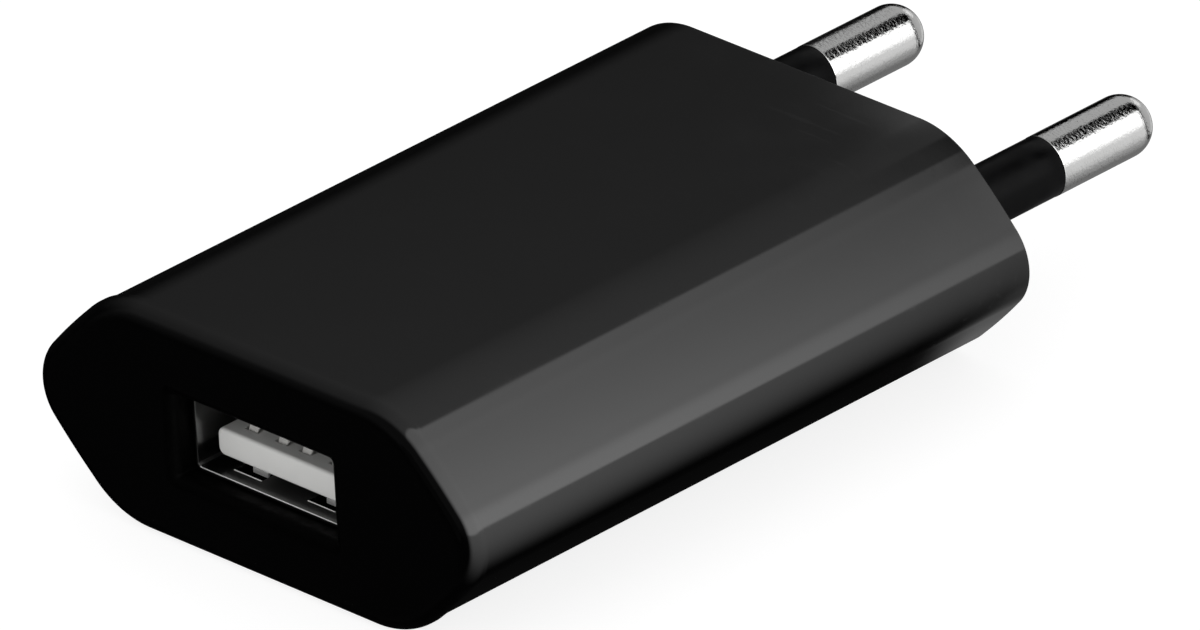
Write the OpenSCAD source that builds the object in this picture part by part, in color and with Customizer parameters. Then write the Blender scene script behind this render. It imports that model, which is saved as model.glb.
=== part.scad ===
// Slim USB wall charger with two round mains pins.
// The case lies flat, with its length along Y. The origin is the centre of the
// plug face, between the pins. The pins point to +Y, the USB port faces -Y, +Z is up.

/* [Case] */
// Thickness of the case
case_h = 14.9; // [14.6:0.1:17]
// Width of the top flat, measured to its sharp corners
flat_w = 24.5; // [24.3:0.1:27]
// Length from the plug face to the port face
case_l = 47.7; // [47.5:0.1:56]
// Radius between the flats and the sloping facets
flat_r = 6.5; // [5:0.1:7]
// Radius along the two side edges
side_r = 3.6; // [3:0.1:4.5]
// Wall thickness
wall_t = 1.6; // [1.2:0.1:1.8]
// Thickness of the base that holds the pins
base_t = 2.2; // [2:0.1:3]

/* [Front cap] */
// Depth of the cap in front of the sleeve
cap_t = 1.5; // [1.4:0.1:2]
// Radius of the rounded front edge
front_r = 1.2; // [0.8:0.1:1.4]
// How far the cap stands proud of the sleeve
cap_proud = 0.12; // [0:0.02:0.2]
// Width of the port opening
port_w = 13.3; // [13.2:0.1:13.8]
// Height of the port opening
port_h = 5.5; // [5.3:0.1:6.2]
// Radius of the rounded edge round the port opening
port_edge_r = 0.8; // [0.2:0.1:1.0]

/* [Mains pins] */
// Distance between the pin axes
pin_pitch = 19.2; // [18.6:0.1:19.2]
// Diameter of the bare pin ends
pin_d = 4.0; // [3.94:0.02:4.06]
// Length of the pins beyond the plug face
pin_l = 18.8; // [18.5:0.1:19.5]
// Height of the pin axes above the middle of the case
pin_z = 0.15; // [0:0.05:0.3]
// Diameter of the insulating sleeves
sleeve_d = 3.96; // [3.8:0.02:3.98]
// Length of the sleeves beyond the plug face
sleeve_l = 10.0; // [9.5:0.5:11]

/* [USB receptacle] */
// Clear width inside the metal shell
shell_w = 12.5; // [12.4:0.1:12.6]
// Clear height inside the metal shell
shell_h = 5.12; // [5.1:0.01:5.2]
// Sheet thickness of the shell
shell_t = 0.3; // [0.25:0.05:0.3]
// Depth of the shell
shell_l = 14.0; // [13:0.5:14]
// Width of the white tongue
tongue_w = 11.1; // [10.9:0.1:11.3]
// Thickness of the white tongue
tongue_t = 1.84; // [1.8:0.02:1.9]

/* [Circuit board] */
// Width of the board
board_w = 24.8; // [24:0.1:25]
// Thickness of the board
board_t = 1.2; // [1:0.1:1.2]

/* [Hidden] */
$fn = 64;
eps = 0.01;

// Case outline, a hexagon with 45 degree facets
half_h = case_h / 2;
half_flat = flat_w / 2;
half_w = half_flat + half_h;
seam_y = -case_l + cap_t;
flat_cx = half_flat - flat_r * tan(22.5);
flat_cz = half_h - flat_r;
side_cx = half_w - side_r * sqrt(2);
// Each corner is [centre x, centre z, radius, first angle, last angle]
hex_corners = [
    [side_cx, 0, side_r, -45, 45],
    [flat_cx, flat_cz, flat_r, 45, 90],
    [-flat_cx, flat_cz, flat_r, 90, 135],
    [-side_cx, 0, side_r, 135, 225],
    [-flat_cx, -flat_cz, flat_r, 225, 270],
    [flat_cx, -flat_cz, flat_r, 270, 315]
];
inner_h = half_h - wall_t;

// Cap skirt, which slides into the sleeve and snaps
skirt_gap = 0.1;
skirt_t = 1.0;
skirt_l = 2.8;
snap_x = 6.5;
snap_w = 3.0;
snap_l = 0.8;
snap_rise = 0.35;
snap_y = seam_y + 1.7;
cap_steps = 6;
port_r = 0.25;
port_z = -0.1;
port_edge_steps = 6;
port_collar_l = 1.6;
port_collar_gap = 0.15;
port_collar_t = 0.8;

// Mains pins
neck_d = 3.0;
neck_gap = 0.02;
sleeve_in = 1.2;
sleeve_root_d = 3.6;
sleeve_seat = 0.13;
sleeve_gap = 0.03;
boss_d = 7.4;
boss_l = 3.8;
collar_d = 4.4;
collar_l = 0.8;
collar_y = -3.6;
tail_l = 2.2;
tail_d = 2.2;
boss_end_y = -base_t - boss_l;
tail_end_y = boss_end_y - tail_l;

// Circuit board, with its tall parts hanging below it
board_z = 3.2;
board_top_z = board_z + board_t;
board_front_y = seam_y + skirt_l + 0.3;
board_back_y = -8.4;
rail_w = 0.8;
rail_in_x = 11.9;
rib_in_x = 11.4;
rail_front_y = board_front_y + 0.3;
lead_d = 0.6;
lead_top_z = board_top_z + 0.5;
part_z = board_z - 0.1;

// Wires from the pin tails to the board
wire_d = 1.3;
wire_core_d = 0.8;
wire_bend_r = 2.4;
wire_end_y = tail_end_y - wire_bend_r;

// USB receptacle
shell_out_w = shell_w + 2 * shell_t;
shell_out_h = shell_h + 2 * shell_t;
shell_r = 0.6;
shell_y = seam_y + 0.1;
shell_back_y = shell_y + shell_l;
window_x = 3.1;
window_w = 2.3;
window_l = 5.6;
window_y = shell_y + 1.1;
finger_w = 1.9;
finger_rise = 0.55;
tab_w = 2.0;
tab_y = shell_y + 8;
tab_x = shell_out_w / 2 - shell_t / 2;
tongue_y = shell_y + 1.05;
tongue_top_z = -0.06;
tongue_r = 0.5;
block_l = 2.6;
block_y = shell_back_y - block_l;
block_gap = 0.02;

// Contact strips, which lie in grooves on top of the tongue
contact_w = 1.0;
contact_t = 0.25;
contact_x = [-3.5, -1.0, 1.0, 3.5];
contact_y = tongue_y + 1;
contact_flat_z = tongue_top_z - 0.05;
contact_bow_z = 0.25;
contact_leg_y = shell_back_y + 0.5;
groove_w = contact_w + 0.1;
groove_z = contact_flat_z - contact_t - 0.02;

// Transformer, centred at trafo, with its core legs along X
trafo = [4.9, -25.6, -1.1];
core_half_l = 6.2;
core_w = 10.2;
core_t = 4.6;
core_back = 1.3;
core_leg = 1.2;
core_mid = 2.4;
tube_gap = 0.1;
tube_t = 0.45;
tube_w = core_mid + 2 * (tube_gap + tube_t);
tube_h = core_t + 2 * (tube_gap + tube_t);
flange_t = 0.7;
flange_w = 7.4;
flange_h = 8.2;
flange_x = core_half_l - core_back - 0.1 - flange_t;
winding_t = 1.0;
tape_t = 0.15;
tape_w = 6.4;
foot_w = 9.4;
foot_h = 1.4;
trafo_pin_x = core_half_l - 0.7;
trafo_pin_y = [-3.75, -1.25, 1.25, 3.75];

// Round capacitors: place of the sealed end, and which way it faces (turn about Z, from +Y)
bulk_d = 6.3;
bulk_l = 10.5;
bulk_pitch = 2.5;
bulk_z = part_z - bulk_d / 2;
bulk_front = [[-8.4, -21.1, bulk_z], 0];
bulk_rear = [[-0.8, -16.6, bulk_z], -90];
out_d = 4.9;
out_l = 8.6;
out_pitch = 2.0;
out_z = part_z - out_d / 2;
out_left = [[-9.3, -34, out_z], 0];
out_right = [[9.3, -34, out_z], 0];
seal_t = 1.0;
seal_gap = 0.6;
lead_out = 0.7;

// Small parts
fuse_at = [3.4, wire_end_y, 1.5];
fuse_d = 2.6;
fuse_l = 6.4;
fuse_reach = 4;
inductor_at = [6.6, -16.6, part_z];
inductor_d = 5;
inductor_h = 5.8;
inductor_pitch = 3;
disc_at = [-3.2, -26, -0.9];
disc_d = 6.6;
disc_t = 2.8;
disc_pitch = 5;
disc_lead_z = 0.6;
bridge_at = [-4.8, -11, board_z];
bridge_size = [3.9, 4.7, 2.3];
chip_at = [-7, -25.6, board_top_z];
chip_size = [3.9, 4.9, 1];
diode_at = [8.8, -38.6, board_top_z];
diode_size = [2.6, 4.2, 1];
resistor_size = [0.8, 1.6, 0.45];
small_cap_size = [1.25, 2, 0.8];
resistor_places = [
    [-10.8, -26], [-10.8, -29], [-8.6, -22.2], [-2.6, -21.4],
    [1.6, -22.6], [4.9, -25.6], [1.6, -37], [-1.6, -37]
];
small_cap_places = [[4.9, -29.2], [-6.6, -31.2], [-4.6, -37], [4.6, -35.4]];

// Every lead that is soldered into the board: [x, y, lead diameter]
lead_points = concat(
    [for (side = [-1, 1]) [side * pin_pitch / 2, wire_end_y, wire_core_d]],
    [for (x = contact_x) [x, contact_leg_y + contact_t / 2, contact_w + 0.05]],
    [for (side = [-1, 1], y = trafo_pin_y) [trafo[0] + side * trafo_pin_x, trafo[1] + y, lead_d]],
    [for (c = [out_left, out_right], side = [-1, 1])
        [c[0][0] + side * out_pitch / 2, c[0][1] + lead_out, lead_d]],
    [for (side = [-1, 1]) [bulk_front[0][0] + side * bulk_pitch / 2, bulk_front[0][1] + lead_out, lead_d]],
    [for (side = [-1, 1]) [bulk_rear[0][0] + lead_out, bulk_rear[0][1] + side * bulk_pitch / 2, lead_d]],
    [for (side = [-1, 1]) [fuse_at[0] + side * fuse_reach, fuse_at[1], lead_d]],
    [for (side = [-1, 1]) [inductor_at[0], inductor_at[1] + side * inductor_pitch / 2, lead_d]],
    [for (side = [-1, 1]) [disc_at[0], disc_at[1] + side * disc_pitch / 2, lead_d]]
);
hole_gap = 0.2;
solder_rim = 0.4;
solder_h = 0.45;

// Rounded hexagon of the case, drawn a distance inside its outline
module hexagon(inset, fn = 96) {
    polygon([
        for (c = hex_corners)
            for (a = [c[3], c[4]])
                [c[0] + (c[2] - inset) * cos(a), c[1] + (c[2] - inset) * sin(a)]
    ]);
    for (c = hex_corners)
        translate([c[0], c[1]]) circle(r = c[2] - inset, $fn = fn);
}

// Slab of the case between two places along Y
module case_slab(back_y, front_y, inset, fn = 96) {
    translate([0, back_y, 0])
        rotate([90, 0, 0])
            linear_extrude(back_y - front_y) hexagon(inset, fn);
}

// Cylinder along Y between two places
module rod_y(x, z, d, back_y, front_y) {
    translate([x, back_y, z])
        rotate([90, 0, 0])
            cylinder(d = d, h = back_y - front_y);
}

// Box given by two opposite corners
module span(a, b) {
    low = [for (i = [0 : 2]) min(a[i], b[i])];
    high = [for (i = [0 : 2]) max(a[i], b[i])];
    translate(low) cube(high - low);
}

// Box centred in X and Y, standing on z = 0
module block(size) {
    translate([-size[0] / 2, -size[1] / 2, 0]) cube(size);
}

// Centred rectangle with rounded corners
module soft_rect(w, h, r) {
    square([w - 2 * r, h], center = true);
    square([w, h - 2 * r], center = true);
    for (x = [-1, 1], z = [-1, 1])
        translate([x * (w / 2 - r), z * (h / 2 - r)]) circle(r = r, $fn = 32);
}

// Outline in X and Z, drawn out along Y between two places
module along_y(back_y, front_y) {
    translate([0, back_y, 0])
        rotate([90, 0, 0])
            linear_extrude(back_y - front_y) children();
}

// Outline in Y and Z, drawn out along X and centred at x
module along_x(x, w) {
    translate([x - w / 2, 0, 0])
        rotate([90, 0, 90])
            linear_extrude(w) children();
}

// Wire that leaves a part along +Y from its own origin, turns up and ends at height top
module bent_lead(back, out, top) {
    rod_y(0, 0, lead_d, out, -back);
    translate([0, out, 0]) sphere(d = lead_d, $fn = 32);
    translate([0, out, 0]) cylinder(d = lead_d, h = top);
}

// ---- Case ----

module board_rails() {
    for (side = [-1, 1])
        intersection() {
            case_slab(-base_t + eps, rail_front_y, wall_t - eps);
            union() {
                span([side * rail_in_x, 0, part_z], [side * half_w, -case_l, part_z - rail_w]);
                span([side * rib_in_x, 0, board_top_z + 0.1], [side * (rib_in_x + rail_w), -case_l, half_h]);
            }
        }
}

module snap_pockets() {
    for (x = [-snap_x, snap_x], side = [-1, 1])
        translate([x, snap_y, side * inner_h])
            cube([snap_w + 0.4, snap_l + 0.4, 2 * (snap_rise + 0.1)], center = true);
}

// Room in the base for one pin: its sleeve, its neck and its collar
module pin_room(x) {
    rod_y(x, pin_z, sleeve_d + 2 * sleeve_gap, eps, -sleeve_seat - neck_gap);
    rod_y(x, pin_z, sleeve_root_d + 2 * sleeve_gap, 0, -sleeve_in - neck_gap);
    rod_y(x, pin_z, neck_d + 2 * neck_gap, 0, boss_end_y - eps);
    rod_y(x, pin_z, collar_d + 2 * neck_gap, collar_y + collar_l + neck_gap, collar_y - neck_gap);
}

module housing() {
    color("#101012")
    difference() {
        union() {
            difference() {
                case_slab(0, seam_y, 0);
                case_slab(-base_t, seam_y - eps, wall_t);
            }
            board_rails();
            for (side = [-1, 1])
                rod_y(side * pin_pitch / 2, pin_z, boss_d, -base_t + eps, boss_end_y);
        }
        for (side = [-1, 1]) pin_room(side * pin_pitch / 2);
        snap_pockets();
    }
}

// Plate of the cap: a slab, then thin slices that step in round its front edge, under one skin
module cap_plate() {
    slice_t = front_r / 50;
    hull() {
        case_slab(seam_y, seam_y - slice_t, -cap_proud, 32);
        for (i = [0 : cap_steps]) {
            a = 90 * i / cap_steps;
            y = front_r - case_l - (front_r - slice_t) * sin(a);
            case_slab(y, y - slice_t, front_r * (1 - cos(a)) - cap_proud, 32);
        }
    }
}

// Skirt that slides into the sleeve, with four snaps
module cap_skirt() {
    skirt_inset = wall_t + skirt_gap;
    difference() {
        case_slab(seam_y + skirt_l, seam_y - eps, skirt_inset);
        case_slab(seam_y + skirt_l + eps, seam_y - 2 * eps, skirt_inset + skirt_t);
    }
    for (x = [-snap_x, snap_x], side = [-1, 1])
        translate([x, snap_y, side * (inner_h - skirt_gap)])
            cube([snap_w, snap_l, 2 * snap_rise], center = true);
}

// Collar behind the port that steadies the receptacle
module port_collar() {
    grow = 2 * port_collar_gap;
    wall = 2 * port_collar_t;
    difference() {
        along_y(seam_y + port_collar_l, seam_y - eps)
            square([shell_out_w + grow + wall, shell_out_h + grow + wall], center = true);
        along_y(seam_y + port_collar_l + eps, seam_y - 2 * eps)
            square([shell_out_w + grow, shell_out_h + grow], center = true);
    }
}

// Thin slice of the port opening where its rounded edge is at an angle, from 0 at the front face to 90
module port_slice(angle) {
    depth = port_edge_r * (1 - cos(angle));
    grow = port_edge_r * (1 - sin(angle));
    along_y(-case_l + depth + eps, -case_l + depth - eps)
        soft_rect(port_w + 2 * grow, port_h + 2 * grow, port_r + grow);
}

module port_opening() {
    translate([0, 0, port_z]) {
        along_y(seam_y + eps, -case_l - 1) soft_rect(port_w, port_h, port_r);
        for (i = [1:port_edge_steps])
            hull() {
                port_slice(90 * (i - 1) / port_edge_steps);
                port_slice(90 * i / port_edge_steps);
            }
    }
}

module front_cap() {
    color("#0b0b0d") {
        difference() {
            union() {
                cap_plate();
                cap_skirt();
                port_collar();
            }
            port_opening();
        }
    }
}

// ---- Mains pins ----

module mains_pin(x) {
    color("#c9c9cc")
    translate([x, 0, pin_z])
        rotate([-90, 0, 0])
            rotate_extrude($fn = 96)
                intersection() {
                    union() {
                        translate([0, sleeve_l]) square([pin_d / 2, pin_l - sleeve_l - pin_d / 2]);
                        translate([0, pin_l - pin_d / 2]) circle(d = pin_d);
                        translate([0, boss_end_y]) square([neck_d / 2, sleeve_l - boss_end_y + eps]);
                        translate([0, collar_y]) square([collar_d / 2, collar_l]);
                        translate([0, tail_end_y]) square([tail_d / 2, tail_l + eps]);
                    }
                    translate([0, tail_end_y]) square([pin_d, pin_l - tail_end_y]);
                }
}
module pin_left() { mains_pin(-pin_pitch / 2); }
module pin_right() { mains_pin(pin_pitch / 2); }

module pin_sleeve(x) {
    color("#141416")
    difference() {
        union() {
            rod_y(x, pin_z, sleeve_d, sleeve_l, -sleeve_seat);
            rod_y(x, pin_z, sleeve_root_d, 0, -sleeve_in);
        }
        rod_y(x, pin_z, neck_d + 2 * neck_gap, sleeve_l + eps, -sleeve_in - eps);
    }
}
module pin_sleeve_left() { pin_sleeve(-pin_pitch / 2); }
module pin_sleeve_right() { pin_sleeve(pin_pitch / 2); }

// Insulated wire from a pin's tail, bent up into the board
module lead_wire(x, shade) {
    color(shade)
    translate([x, wire_end_y, pin_z]) {
        translate([0, wire_bend_r, wire_bend_r])
            rotate([0, 90, 180])
                rotate_extrude(angle = 90, $fn = 64)
                    translate([wire_bend_r, 0]) circle(d = wire_d, $fn = 32);
        translate([0, 0, wire_bend_r]) cylinder(d = wire_d, h = part_z - pin_z - wire_bend_r);
        translate([0, 0, wire_bend_r]) cylinder(d = wire_core_d, h = lead_top_z - pin_z - wire_bend_r);
    }
}
module lead_wire_left() { lead_wire(-pin_pitch / 2, "#5a3a22"); }
module lead_wire_right() { lead_wire(pin_pitch / 2, "#2b4fa0"); }

// ---- Circuit board ----

module circuit_board() {
    color("#2f6b3a")
    difference() {
        span([-board_w / 2, board_front_y, board_z], [board_w / 2, board_back_y, board_top_z]);
        for (p = lead_points)
            translate([p[0], p[1], board_z - eps])
                cylinder(d = p[2] + hole_gap, h = board_t + 2 * eps, $fn = 32);
        for (side = [-1, 1])
            translate([side * tab_x, tab_y, board_z - eps])
                block([shell_t + hole_gap, tab_w + hole_gap, board_t + 2 * eps]);
    }
}

// Cone of solder round every lead, and a fillet on each side of the shell's tabs
module solder_joints() {
    color("#b9bcc0") {
        for (p = lead_points)
            translate([p[0], p[1], board_top_z])
                difference() {
                    cylinder(d1 = p[2] + 2 * solder_rim, d2 = p[2] + 0.25, h = solder_h, $fn = 32);
                    translate([0, 0, -eps]) cylinder(d = p[2] + 0.02, h = 1, $fn = 32);
                }
        for (side = [-1, 1])
            translate([side * tab_x, tab_y, board_top_z])
                difference() {
                    block([shell_t + 1, tab_w + 0.9, solder_h / 2]);
                    translate([0, 0, -eps]) block([shell_t + 0.02, tab_w + 0.02, 1]);
                }
    }
}

// ---- USB receptacle ----

// Spring finger, bent inwards, in a window of the bottom wall
module shell_finger(x) {
    back_y = window_y + window_l + eps;
    peak_y = window_y + 1.4;
    tip_y = window_y + 0.3;
    low = -shell_out_h / 2;
    along_x(x, finger_w)
        polygon([
            [back_y, low], [back_y, low + shell_t], [peak_y, low + shell_t + finger_rise],
            [tip_y, low + shell_t + finger_rise / 3], [tip_y, low + finger_rise / 3],
            [peak_y, low + finger_rise]
        ]);
}

module usb_shell() {
    color("#b4b6ba") {
        difference() {
            along_y(shell_back_y, shell_y) soft_rect(shell_out_w, shell_out_h, shell_r);
            along_y(shell_back_y + eps, shell_y - eps) soft_rect(shell_w, shell_h, shell_r - shell_t);
            for (x = [-window_x, window_x])
                translate([x, window_y + window_l / 2, -shell_out_h])
                    block([window_w, window_l, 2 * shell_out_h]);
        }
        for (x = [-window_x, window_x], flip = [0, 1])
            mirror([0, 0, flip]) shell_finger(x);
        for (side = [-1, 1])
            translate([side * tab_x, tab_y, shell_h / 4])
                block([shell_t, tab_w, lead_top_z - shell_h / 4]);
    }
}

module usb_insulator() {
    color("#e9e9e6")
    difference() {
        union() {
            translate([0, 0, tongue_top_z - tongue_t / 2])
                along_y(block_y + eps, tongue_y) soft_rect(tongue_w, tongue_t, tongue_r);
            along_y(shell_back_y, block_y)
                soft_rect(shell_w - 2 * block_gap, shell_h - 2 * block_gap, shell_r - shell_t);
        }
        for (x = contact_x) {
            span([x - groove_w / 2, contact_y - 0.15, groove_z], [x + groove_w / 2, block_y + eps, half_h]);
            span([x - contact_w / 2 - block_gap, block_y, groove_z],
                 [x + contact_w / 2 + block_gap, shell_back_y + eps, contact_flat_z + block_gap]);
        }
    }
}

// Contact strip: bowed tip, flat run along the tongue, and a leg up through the board
module usb_contact(x) {
    color("#d8b45a")
    along_x(x, contact_w)
        polygon([
            [contact_y, contact_flat_z - 0.05],
            [contact_y + 0.5, contact_bow_z],
            [contact_y + 1.8, contact_flat_z],
            [contact_leg_y, contact_flat_z],
            [contact_leg_y, lead_top_z],
            [contact_leg_y + contact_t, lead_top_z],
            [contact_leg_y + contact_t, contact_flat_z - contact_t],
            [contact_y + 1.8, contact_flat_z - contact_t],
            [contact_y + 0.5, contact_bow_z - contact_t],
            [contact_y, contact_flat_z - contact_t]
        ]);
}
module usb_contact_supply() { usb_contact(contact_x[0]); }
module usb_contact_data_minus() { usb_contact(contact_x[1]); }
module usb_contact_data_plus() { usb_contact(contact_x[2]); }
module usb_contact_ground() { usb_contact(contact_x[3]); }

// ---- Transformer ----

// Half of the ferrite core: a back and three legs, open towards -X
module core_half() {
    difference() {
        translate([core_half_l / 2, 0, -core_t / 2]) block([core_half_l, core_w, core_t]);
        for (side = [-1, 1])
            span([-eps, side * core_mid / 2, -core_t],
                 [core_half_l - core_back, side * (core_w / 2 - core_leg), core_t]);
    }
}
module transformer_core_left() {
    color("#3c3c40") translate(trafo) mirror([1, 0, 0]) core_half();
}
module transformer_core_right() {
    color("#3c3c40") translate(trafo) core_half();
}

// Tube with a flange and a foot of pins at each end
module transformer_bobbin() {
    color("#1d1d20")
    translate(trafo)
    difference() {
        union() {
            translate([0, 0, -tube_h / 2]) block([2 * flange_x + eps, tube_w, tube_h]);
            for (side = [-1, 1]) {
                translate([side * (flange_x + flange_t / 2), 0, -flange_h / 2])
                    block([flange_t, flange_w, flange_h]);
                span([side * flange_x, -foot_w / 2, flange_h / 2 - foot_h],
                     [side * core_half_l, foot_w / 2, flange_h / 2]);
            }
        }
        translate([0, 0, -core_t / 2 - tube_gap])
            block([3 * core_half_l, core_mid + 2 * tube_gap, core_t + 2 * tube_gap]);
        for (side = [-1, 1], y = trafo_pin_y)
            translate([side * trafo_pin_x, y, 0]) cylinder(d = lead_d + 0.02, h = flange_h, $fn = 32);
    }
}

// Wire wound on the tube, drawn as one solid ring
module transformer_winding() {
    color("#a8641f")
    translate(trafo)
    difference() {
        winding_ring(2 * flange_x - 0.2, winding_t);
        winding_ring(2 * flange_x + 1, 0.02);
    }
}

// Ring section round the tube, grown outwards by a thickness
module winding_ring(length, grow) {
    along_x(0, length) soft_rect(tube_w + 2 * grow, tube_h + 2 * grow, grow);
}

module transformer_tape() {
    color("#e0c040")
    translate(trafo)
    difference() {
        winding_ring(tape_w, winding_t + tape_t);
        winding_ring(tape_w + 1, winding_t + 0.01);
    }
}

module transformer_pins() {
    color("#c4c6ca")
    for (side = [-1, 1], y = trafo_pin_y)
        translate([trafo[0] + side * trafo_pin_x, trafo[1] + y, trafo[2] + flange_h / 2 - foot_h])
            cylinder(d = lead_d, h = lead_top_z - trafo[2] - flange_h / 2 + foot_h, $fn = 32);
}

// ---- Capacitors ----

// Places a capacitor, whose can runs along -Y from its sealed end
module at_capacitor(c) {
    translate(c[0]) rotate([0, 0, c[1]]) children();
}

// Sleeved can with a rolled groove near the seal, and a recess for it
module capacitor_can(d, l) {
    rotate([90, 0, 0])
        rotate_extrude()
            difference() {
                square([d / 2, l]);
                translate([-eps, -eps]) square([d / 2 - seal_gap + eps, seal_t + eps]);
                translate([d / 2 + 0.25, 1.9]) circle(d = 1, $fn = 32);
            }
}

module capacitor_seal(d, pitch) {
    difference() {
        rod_y(0, 0, d - 2 * seal_gap - 0.02, 0, -seal_t);
        for (side = [-1, 1])
            rod_y(side * pitch / 2, 0, lead_d + 0.02, eps, -seal_t - eps);
    }
}

module lead_pair(c, pitch) {
    at_capacitor(c)
        for (side = [-1, 1])
            translate([side * pitch / 2, 0, 0]) bent_lead(seal_t - 0.02, lead_out, lead_top_z - c[0][2]);
}

module bulk_capacitor_front() { color("#24262b") at_capacitor(bulk_front) capacitor_can(bulk_d, bulk_l); }
module bulk_capacitor_rear() { color("#24262b") at_capacitor(bulk_rear) capacitor_can(bulk_d, bulk_l); }
module output_capacitor_left() { color("#1d3f33") at_capacitor(out_left) capacitor_can(out_d, out_l); }
module output_capacitor_right() { color("#1d3f33") at_capacitor(out_right) capacitor_can(out_d, out_l); }

module capacitor_seals() {
    color("#2a2422") {
        for (c = [bulk_front, bulk_rear]) at_capacitor(c) capacitor_seal(bulk_d, bulk_pitch);
        for (c = [out_left, out_right]) at_capacitor(c) capacitor_seal(out_d, out_pitch);
    }
}

module capacitor_leads() {
    color("#c4c6ca") {
        for (c = [bulk_front, bulk_rear]) lead_pair(c, bulk_pitch);
        for (c = [out_left, out_right]) lead_pair(c, out_pitch);
    }
}

// ---- Small parts ----

// Lacquered resistor body with thicker ends
module fusible_resistor() {
    color("#7fa08c")
    translate(fuse_at)
    rotate([0, 90, 0])
        rotate_extrude()
            union() {
                translate([0, -fuse_l / 2]) square([fuse_d / 2 - 0.25, fuse_l]);
                for (side = [-1, 1])
                    translate([0, side * (fuse_l / 2 - 0.7) - 0.7]) square([fuse_d / 2, 1.4]);
            }
}

module fusible_resistor_leads() {
    color("#c4c6ca")
    for (side = [-1, 1])
        translate(fuse_at)
            rotate([0, 0, -side * 90])
                translate([0, fuse_l / 2, 0])
                    bent_lead(-0.01, fuse_reach - fuse_l / 2, lead_top_z - fuse_at[2]);
}

// Drum core on end, with the wire wound in its waist
module filter_inductor() {
    color("#232327")
    translate(inductor_at)
    rotate([180, 0, 0])
        rotate_extrude()
            union() {
                square([inductor_d / 2, 0.8]);
                translate([0, inductor_h - 0.8]) square([inductor_d / 2, 0.8]);
                square([inductor_d / 2 - 0.35, inductor_h]);
            }
}

module filter_inductor_leads() {
    color("#c4c6ca")
    for (side = [-1, 1])
        translate([inductor_at[0], inductor_at[1] + side * inductor_pitch / 2, part_z + 0.01])
            cylinder(d = lead_d, h = lead_top_z - part_z - 0.01, $fn = 32);
}

// Ceramic disc, dipped, standing on edge under the board
module y_capacitor() {
    color("#3465a8")
    difference() {
        translate(disc_at)
            rotate([0, 90, 0])
                rotate_extrude()
                    intersection() {
                        soft_rect(disc_d, disc_t, disc_t / 2 - 0.1);
                        translate([0, -disc_t]) square([disc_d, 2 * disc_t]);
                    }
        disc_leads(lead_d + 0.02);
    }
}

// Two straight wires, whose lower ends are buried in the disc's coat
module disc_leads(d) {
    for (side = [-1, 1])
        translate([disc_at[0], disc_at[1] + side * disc_pitch / 2, disc_lead_z])
            cylinder(d = d, h = lead_top_z - disc_lead_z, $fn = 32);
}

module y_capacitor_leads() {
    color("#c4c6ca") disc_leads(lead_d);
}

// Gull-wing leg, stepping down from a body's side to the board at z = 0
module gull_leg(w, body_half, reach, rise, t) {
    along_x(0, w)
        polygon([
            [body_half, rise], [body_half + reach / 3 + t, rise], [body_half + reach / 3 + t, t],
            [body_half + reach, t], [body_half + reach, 0], [body_half + reach / 3, 0],
            [body_half + reach / 3, rise - t], [body_half, rise - t]
        ]);
}

module bridge_rectifier() {
    color("#18181a")
    translate(bridge_at) rotate([180, 0, 0]) translate([0, 0, 0.1]) block(bridge_size);
}

module bridge_rectifier_legs() {
    color("#c4c6ca")
    translate(bridge_at)
    for (turn = [-90, 90], y = [-1.27, 1.27])
        translate([0, y, 0])
            rotate([180, 0, turn]) gull_leg(0.7, bridge_size[0] / 2, 1.1, 1.1, 0.2);
}

module controller_chip() {
    color("#18181a") translate(chip_at) translate([0, 0, 0.1]) block(chip_size);
}

module controller_chip_legs() {
    color("#c4c6ca")
    translate(chip_at)
    for (turn = [-90, 90], i = [-1.5 : 1.5])
        translate([0, i * 1.27, 0])
            rotate([0, 0, turn]) gull_leg(0.4, chip_size[0] / 2, 1, 0.6, 0.15);
}

module output_diode() {
    color("#18181a") translate(diode_at) translate([0, 0, 0.1]) block(diode_size);
}

module output_diode_ends() {
    color("#c4c6ca")
    translate(diode_at)
    for (turn = [0, 180])
        rotate([0, 0, turn]) gull_leg(1.4, diode_size[1] / 2, 0.5, 0.6, 0.15);
}

module chip_resistors() {
    color("#1a1a1c")
    for (p = resistor_places)
        translate([p[0], p[1], board_top_z]) block(resistor_size);
}

module chip_capacitors() {
    color("#9a7b56")
    for (p = small_cap_places)
        translate([p[0], p[1], board_top_z]) block(small_cap_size);
}

housing();
front_cap();
pin_left();
pin_right();
pin_sleeve_left();
pin_sleeve_right();
lead_wire_left();
lead_wire_right();
circuit_board();
solder_joints();
usb_shell();
usb_insulator();
usb_contact_supply();
usb_contact_data_minus();
usb_contact_data_plus();
usb_contact_ground();
transformer_core_left();
transformer_core_right();
transformer_bobbin();
transformer_winding();
transformer_tape();
transformer_pins();
bulk_capacitor_front();
bulk_capacitor_rear();
output_capacitor_left();
output_capacitor_right();
capacitor_seals();
capacitor_leads();
fusible_resistor();
fusible_resistor_leads();
filter_inductor();
filter_inductor_leads();
y_capacitor();
y_capacitor_leads();
bridge_rectifier();
bridge_rectifier_legs();
controller_chip();
controller_chip_legs();
output_diode();
output_diode_ends();
chip_resistors();
chip_capacitors();
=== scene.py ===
"""Slim USB wall charger with two round mains pins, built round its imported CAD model."""

import math

import bmesh
import bpy
from mathutils import Matrix, Vector
from mathutils.geometry import tessellate_polygon


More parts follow.
